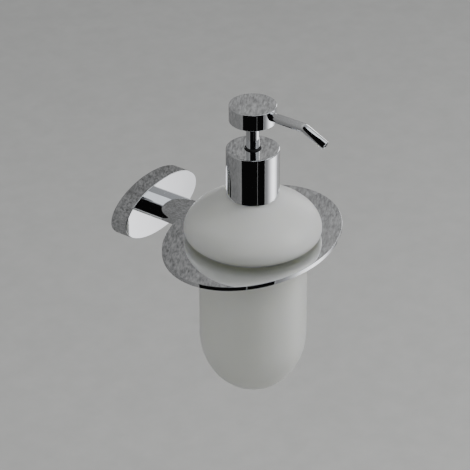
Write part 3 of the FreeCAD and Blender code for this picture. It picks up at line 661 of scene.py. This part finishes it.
ROSETTE_BREAK, ARM_BREAK = 0.15, 0.25
for piece, width in ((rosette_cup, ROSETTE_BREAK), (arm_bar, ARM_BREAK)):
    piece.data.shade_smooth()
    piece.data.set_sharp_from_angle(angle=CREASE)
    rounded = piece.modifiers.new("broken_edges", "BEVEL")
    rounded.width = width * MM
    rounded.segments = 3
    rounded.limit_method = "ANGLE"
    rounded.angle_limit = math.radians(50)
    even = piece.modifiers.new("even_shading", "WEIGHTED_NORMAL")
    even.keep_sharp = True
    print(piece.name, "cut:", len(piece.data.polygons), "faces")

# %% [markdown]
# ## Writing finishes
#
# A finish is a small network of nodes.  Node by node it is hard to read, so a Signal wraps one
# socket and lets it be added and multiplied like a number, and a Finish has one method that
# makes any node, sets it and fills its sockets.

# %% A socket that can be calculated with
class Signal:
    """One output of a node; each operator adds a Math node."""

    def __init__(self, finish, socket):
        self.finish = finish
        self.socket = socket

    def maths(self, operation, first, second):
        return self.finish.node("ShaderNodeMath", {"operation": operation}, [first, second])

    def __add__(self, other):
        return self.maths("ADD", self, other)

    def __radd__(self, other):
        return self.maths("ADD", other, self)

    def __sub__(self, other):
        return self.maths("SUBTRACT", self, other)

    def __rsub__(self, other):
        return self.maths("SUBTRACT", other, self)

    def __mul__(self, other):
        return self.maths("MULTIPLY", self, other)

    def __rmul__(self, other):
        return self.maths("MULTIPLY", other, self)

    def __pow__(self, other):
        return self.maths("POWER", self, other)

    def at_least(self, other):
        return self.maths("MAXIMUM", self, other)


# %% A finish and its nodes
MIX_FACTOR, MIX_FIRST, MIX_SECOND, MIX_RESULT = 0, 6, 7, 2


class Finish:
    """A material for one of this object's finishes."""

    def __init__(self, name):
        self.material = bpy.data.materials.new(name)
        self.material.use_nodes = True
        self.tree = self.material.node_tree
        self.tree.nodes.clear()
        self.place = self.node("ShaderNodeTexCoord", output="Object")

    def node(self, kind, settings=None, inputs=(), output=0):
        """Make a node, set it up, then fill its sockets with numbers or signals."""
        made = self.tree.nodes.new(kind)
        for key, value in (settings or {}).items():
            if key == "stops":
                ramp = made.color_ramp.elements
                for element, (position, level) in zip(ramp, value):
                    element.position = position
                    element.color = (level, level, level, 1)
            else:
                setattr(made, key, value)
        pairs = inputs.items() if isinstance(inputs, dict) else enumerate(inputs)
        for key, value in pairs:
            if isinstance(value, Signal):
                self.tree.links.new(value.socket, made.inputs[key])
            else:
                made.inputs[key].default_value = value
        return Signal(self, made.outputs[output])

    def noise(self, scale, detail=3.0, roughness=0.5, vector=None, distortion=0.0):
        """Soft random values; scale counts patches to the metre."""
        return self.node("ShaderNodeTexNoise", inputs={
            "Vector": vector or self.place, "Scale": scale, "Detail": detail,
            "Roughness": roughness, "Distortion": distortion,
        })

    def stretched(self, along):
        """Object coordinates stretched, for grain that runs one way."""
        return self.node("ShaderNodeMapping", inputs={"Vector": self.place, "Scale": along})

    def along(self, direction):
        """Distance of a point along a direction, in metres."""
        return self.node(
            "ShaderNodeVectorMath", {"operation": "DOT_PRODUCT"}, [self.place, direction],
            output="Value",
        )

    def contrast(self, signal, dark, bright):
        """Spread the values between two levels over the whole range."""
        return self.node("ShaderNodeValToRGB", {"stops": ((dark, 0.0), (bright, 1.0))}, [signal])

    def blend(self, factor, first, second):
        """Mix two colours."""
        return self.node("ShaderNodeMix", {"data_type": "RGBA"}, {
            MIX_FACTOR: factor, MIX_FIRST: (*first, 1), MIX_SECOND: (*second, 1),
        }, output=MIX_RESULT)

    def relief(self, height, strength, distance):
        """Small bumps from a signal."""
        return self.node("ShaderNodeBump", inputs={
            "Strength": strength, "Distance": distance, "Height": height,
        })

    def surface(self, **sockets):
        """Close the network with a Principled shader."""
        named = {key.replace("_", " "): value for key, value in sockets.items()}
        shader = self.node("ShaderNodeBsdfPrincipled", inputs=named)
        end = self.tree.nodes.new("ShaderNodeOutputMaterial")
        self.tree.links.new(shader.socket, end.inputs["Surface"])
        return self.material


# %% [markdown]
# ## Chrome plate
#
# Polished chrome is almost a mirror.  What tells it from a perfect one is a slight haze where
# it has been wiped, and a very long, shallow waviness left by the polishing wheel.

# %% Chrome
def make_chrome():
    finish = Finish("polished_chrome")
    wiped = finish.contrast(finish.noise(70, detail=4), 0.35, 0.75)
    haze = finish.noise(900, detail=2)
    wave = finish.noise(28, detail=1)
    return finish.surface(
        Base_Color=finish.blend(wiped, (0.80, 0.81, 0.83), (0.86, 0.87, 0.885)),
        Metallic=1.0,
        Roughness=0.018 + wiped * 0.022 + haze * 0.012,
        Normal=finish.relief(wave, 0.05, 0.0006),
    )


chrome = make_chrome()

# %% [markdown]
# ## Satin glass
#
# The bottle is etched outside, so it scatters light both ways: it looks pale and greenish grey,
# a little brighter where the wall is seen edge on, and shapes behind it are only hinted at.
# Partly transmitting and partly diffuse glass with a rough surface gives this, and a very fine
# grain breaks up its highlights.

# %% Satin glass
def make_satin_glass():
    finish = Finish("satin_glass")
    grain = finish.noise(2400, detail=2)
    cloud = finish.contrast(finish.noise(26, detail=3), 0.3, 0.7)
    return finish.surface(
        Base_Color=finish.blend(cloud, (0.875, 0.89, 0.78), (0.915, 0.93, 0.835)),
        Roughness=0.34 + grain * 0.12,
        IOR=1.48,
        Transmission_Weight=0.35,
        Subsurface_Weight=1.0,
        Subsurface_Radius=(0.016, 0.016, 0.014),
        Subsurface_Scale=1.0,
        Sheen_Weight=0.3,
        Sheen_Roughness=0.35,
        Normal=finish.relief(grain, 0.12, 0.00008),
    )


satin_glass = make_satin_glass()

# %% [markdown]
# ## Steel, plastics and rubber
#
# Screws, bracket, spring and balls are plain stainless steel with a fine grain along one way.
# The plastics differ in colour and gloss, and each has the faint mottle of a moulded skin.

# %% Steel
def make_steel():
    finish = Finish("plain_steel")
    grain = finish.noise(420, detail=5, vector=finish.stretched((1, 1, 14)))
    patches = finish.contrast(finish.noise(120), 0.3, 0.7)
    return finish.surface(
        Base_Color=finish.blend(patches, (0.52, 0.525, 0.53), (0.64, 0.645, 0.65)),
        Metallic=1.0,
        Roughness=0.22 + grain * 0.2,
        Normal=finish.relief(grain, 0.15, 0.00005),
    )


# %% Moulded plastics and rubber
def make_moulded(name, dark, bright, roughness, spread, bump=0.08, **constants):
    """A moulded skin: a faint mottle in colour and gloss, and a very fine grain."""
    finish = Finish(name)
    mottle = finish.contrast(finish.noise(60, detail=4), 0.3, 0.7)
    skin = finish.noise(1500, detail=3)
    return finish.surface(
        Base_Color=finish.blend(mottle, dark, bright),
        Roughness=roughness + skin * spread,
        Normal=finish.relief(skin, bump, 0.00006),
        **constants,
    )


steel = make_steel()
white_plastic = make_moulded("white_plastic", (0.74, 0.74, 0.72), (0.82, 0.82, 0.80), 0.38, 0.15)
black_plastic = make_moulded(
    "black_plastic", (0.006, 0.006, 0.006), (0.014, 0.014, 0.015), 0.42, 0.2,
    Specular_IOR_Level=0.25,
)
nylon = make_moulded(
    "natural_nylon", (0.68, 0.69, 0.68), (0.76, 0.77, 0.76), 0.3, 0.15,
    Transmission_Weight=0.4, IOR=1.5,
)
tube_plastic = make_moulded(
    "tube_plastic", (0.72, 0.74, 0.74), (0.80, 0.82, 0.82), 0.22, 0.12,
    Transmission_Weight=0.5, IOR=1.5,
)
rubber = make_moulded("grey_rubber", (0.22, 0.22, 0.225), (0.30, 0.30, 0.305), 0.6, 0.2, bump=0.2)

# %% [markdown]
# ## Giving out the finishes
#
# Each new piece takes one finish.  The CAD nodes that still show take theirs through their own
# material slots.  They are small or hidden: screws, bracket, piston, inner stem, valve balls.

# %% Paint the pieces
FINISHES = {
    "chrome": chrome, "steel": steel, "frosted_glass": satin_glass, "white_plastic": white_plastic,
    "black_plastic": black_plastic, "clear_plastic": nylon, "tube_plastic": tube_plastic,
    "gasket_rubber": rubber,
}
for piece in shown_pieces():
    if "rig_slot" in piece:
        piece.data.materials.clear()
        piece.data.materials.append(FINISHES[piece["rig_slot"]])
node_slots = {entry["node"]: entry["material_slot"] for entry in frame["record"]["subparts"]}
for name, node in frame["nodes"].items():
    for holder in node.material_slots:
        holder.material = FINISHES[node_slots[name]]

# %% [markdown]
# ## Studio
#
# A pale floor lies well below the object, with soft light from the upper right.  Chrome shows
# only what is around it, so the studio gives it something to show: a grey wall behind, whose
# glow is painted light and shade, a dark opening in front, panels of sky above and a bright
# sheet to the right.  They are seen only in reflections.

# %% Stage surfaces
def stage_sheet(name, shape, finish):
    """Make an object of a shape in the scene and give it one finish."""
    mesh = bpy.data.meshes.new(name)
    shape.to_mesh(mesh)
    shape.free()
    sheet = bpy.data.objects.new(name, mesh)
    bpy.context.scene.collection.objects.link(sheet)
    mesh.materials.append(finish)
    return sheet


def glow(name, colour, strength):
    """Light for a sheet; a strength that is a signal brings its own finish."""
    finish = strength.finish if isinstance(strength, Signal) else Finish(name)
    shader = finish.node("ShaderNodeEmission", inputs={"Color": (*colour, 1), "Strength": strength})
    end = finish.tree.nodes.new("ShaderNodeOutputMaterial")
    finish.tree.links.new(shader.socket, end.inputs["Surface"])
    return finish.material


def reflected_only(sheet):
    """Leave a sheet to be seen by mirrors alone."""
    sheet.visible_camera = False
    sheet.visible_diffuse = False
    sheet.visible_transmission = False
    sheet.visible_volume_scatter = False
    sheet.visible_shadow = False


FLOOR_DROP = 0.30
floor_level = cad_box[0][2] - FLOOR_DROP
floor_shape = bmesh.new()
bmesh.ops.create_grid(
    floor_shape, x_segments=1, y_segments=1, size=4, matrix=Matrix.Translation((0, 0, floor_level)),
)
floor_paint = make_moulded("floor_paint", (0.42, 0.42, 0.41), (0.45, 0.45, 0.44), 0.7, 0.1)
stage_sheet("floor", floor_shape, floor_paint)

wall_shape = bmesh.new()
bmesh.ops.create_grid(
    wall_shape, x_segments=1, y_segments=1, size=0.8,
    matrix=Matrix.Translation((0, 0.001, 0)) @ Matrix.Rotation(math.pi / 2, 4, "X"),
)
textured_painted_light = Finish("wall_textured_painted_light")
grit = textured_painted_light.noise(420, detail=2, distortion=0.6)
to_right = textured_painted_light.along((1, 0, 0))
upwards = textured_painted_light.along((0, 0, 1))
WALL_GLOW, RISE_UP, RISE_RIGHT, RISE_LEFT = 0.165, 0.6, 0.35, 0.2
GRIT_SPREAD, GRIT_CUT = 2.2, 0.1
# The wall's glow is painted light and shade: darkest low down and near the middle, where the object shades the
# wall, and brighter upwards and to both sides, where more light falls; the grit stands for the plaster's texture.
painted_light_and_shade = WALL_GLOW + RISE_UP * upwards.at_least(0) + RISE_RIGHT * to_right.at_least(0)
painted_light_and_shade += RISE_LEFT * (0 - to_right).at_least(0)
wall_light = painted_light_and_shade * (GRIT_SPREAD * grit - GRIT_CUT)
reflected_only(stage_sheet("wall_sheet", wall_shape, glow("wall_glow", (1, 1, 0.99), wall_light)))

# %% Curved sheets round the front
AZIMUTH, ELEVATION = -53.95, 31.49


def curved_sheet(name, start, end, reach, low, high, finish):
    """Part of an upright cylinder about the bottle; angles go right from the camera's side."""
    shape = bmesh.new()
    towards = math.radians(AZIMUTH - 90 + start)
    foot = axis + Vector((math.cos(towards), math.sin(towards), 0)) * reach
    ends = [shape.verts.new((foot.x, foot.y, height)) for height in (low, high)]
    edge = shape.edges.new(ends)
    bmesh.ops.spin(
        shape, geom=ends + [edge], cent=axis, axis=(0, 0, 1), angle=math.radians(end - start),
        steps=24, use_merge=False, use_duplicate=False,
    )
    sheet = stage_sheet(name, shape, finish)
    reflected_only(sheet)
    return sheet


SHEET_LOW, OPENING_TOP, SKY_TOP = floor_level + 0.002, 0.78, 1.5
REACH = 0.40
dark = glow("dark_glow", (1, 1, 1), 0.004)
dusk = glow("upper_glow", (1, 1, 1), 0.012)
sky = glow("sky_glow", (0.93, 0.97, 1.0), 1.3)
curved_sheet("dark_opening", -49, 51, REACH, SHEET_LOW, OPENING_TOP, dark)
curved_sheet("dark_upper", -70, -4, REACH, OPENING_TOP, SKY_TOP, dusk)
curved_sheet("sky_panel", -4, 62, REACH, OPENING_TOP, SKY_TOP, sky)
curved_sheet("sky_panel_right", 62, 112, REACH, 0.32, SKY_TOP, sky)
curved_sheet("narrow_gap", 18.6, 19.6, 0.39, SHEET_LOW, 0.05, glow("gap_glow", (1, 1, 1), 0.30))
curved_sheet("side_window", 140, 165, 0.44, -0.02, 0.34, glow("window_glow", (1, 1, 1), 2.6))

# %% [markdown]
# The bright sheet is lit in its middle and falls off to both sides, as cloth in front of a lamp
# is.  A high power of the cosine of the angle from its middle gives that fall.

# %% Bright sheet
BRIGHT_REACH, BRIGHT_MIDDLE, BRIGHT_FALL = 0.44, 98, 14
BRIGHT_EDGE, BRIGHT_PEAK = 0.21, 2.3
middle_angle = math.radians(AZIMUTH - 90 + BRIGHT_MIDDLE)
middle = Vector((math.cos(middle_angle), math.sin(middle_angle), 0))
cloth = Finish("bright_glow")
from_middle = (cloth.along(middle) - axis.dot(middle)) * (1 / BRIGHT_REACH)
cloth_light = BRIGHT_EDGE + BRIGHT_PEAK * from_middle.at_least(0) ** BRIGHT_FALL
bright = glow("bright_glow", (0.98, 0.98, 1.0), cloth_light)
curved_sheet("bright_sheet", 52, 139, BRIGHT_REACH, SHEET_LOW, -0.03, bright)


# %% Lights
def soft_light(name, place, size, power, in_chrome=True):
    """A round soft lamp that points at the bottle; a mirror may be kept from seeing it."""
    lamp = bpy.data.lights.new(name, "AREA")
    lamp.shape = "DISK"
    lamp.size = size
    lamp.energy = power
    light = bpy.data.objects.new(name, lamp)
    light.location = place
    light.rotation_euler = (axis - Vector(place)).to_track_quat("-Z", "Y").to_euler()
    light.visible_glossy = in_chrome
    bpy.context.scene.collection.objects.link(light)


soft_light("key", (0.75, -1.15, 1.05), 1.0, 31, in_chrome=False)
soft_light("fill", (-1.4, -0.6, 0.9), 1.2, 8, in_chrome=False)
soft_light("back", (-0.3, 1.3, 1.0), 1.0, 4)
world = bpy.data.worlds.new("studio_air")
bpy.context.scene.world = world
world.use_nodes = True
air = world.node_tree.nodes["Background"]
air.inputs["Color"].default_value = (0.55, 0.56, 0.57, 1)
air.inputs["Strength"].default_value = 0.68

# %% [markdown]
# ## Camera
#
# The camera looks down from the left at a long focal length, so the ring stays nearly as wide
# at the back as at the front.

# %% Camera
ROLL = -0.31
DISTANCE = 1.471
aim = Vector((-0.00659, -0.0741, 0.0025))
lens = bpy.data.cameras.new("camera")
lens.sensor_width = 36
lens.lens = 181.8
lens.clip_end = 30
turn = (
    Matrix.Rotation(math.radians(AZIMUTH), 4, "Z")
    @ Matrix.Rotation(math.radians(90 - ELEVATION), 4, "X")
    @ Matrix.Rotation(math.radians(ROLL), 4, "Z")
)
camera = bpy.data.objects.new("camera", lens)
camera.matrix_world = Matrix.Translation(aim) @ turn @ Matrix.Translation((0, 0, DISTANCE))
bpy.context.scene.collection.objects.link(camera)
bpy.context.scene.camera = camera
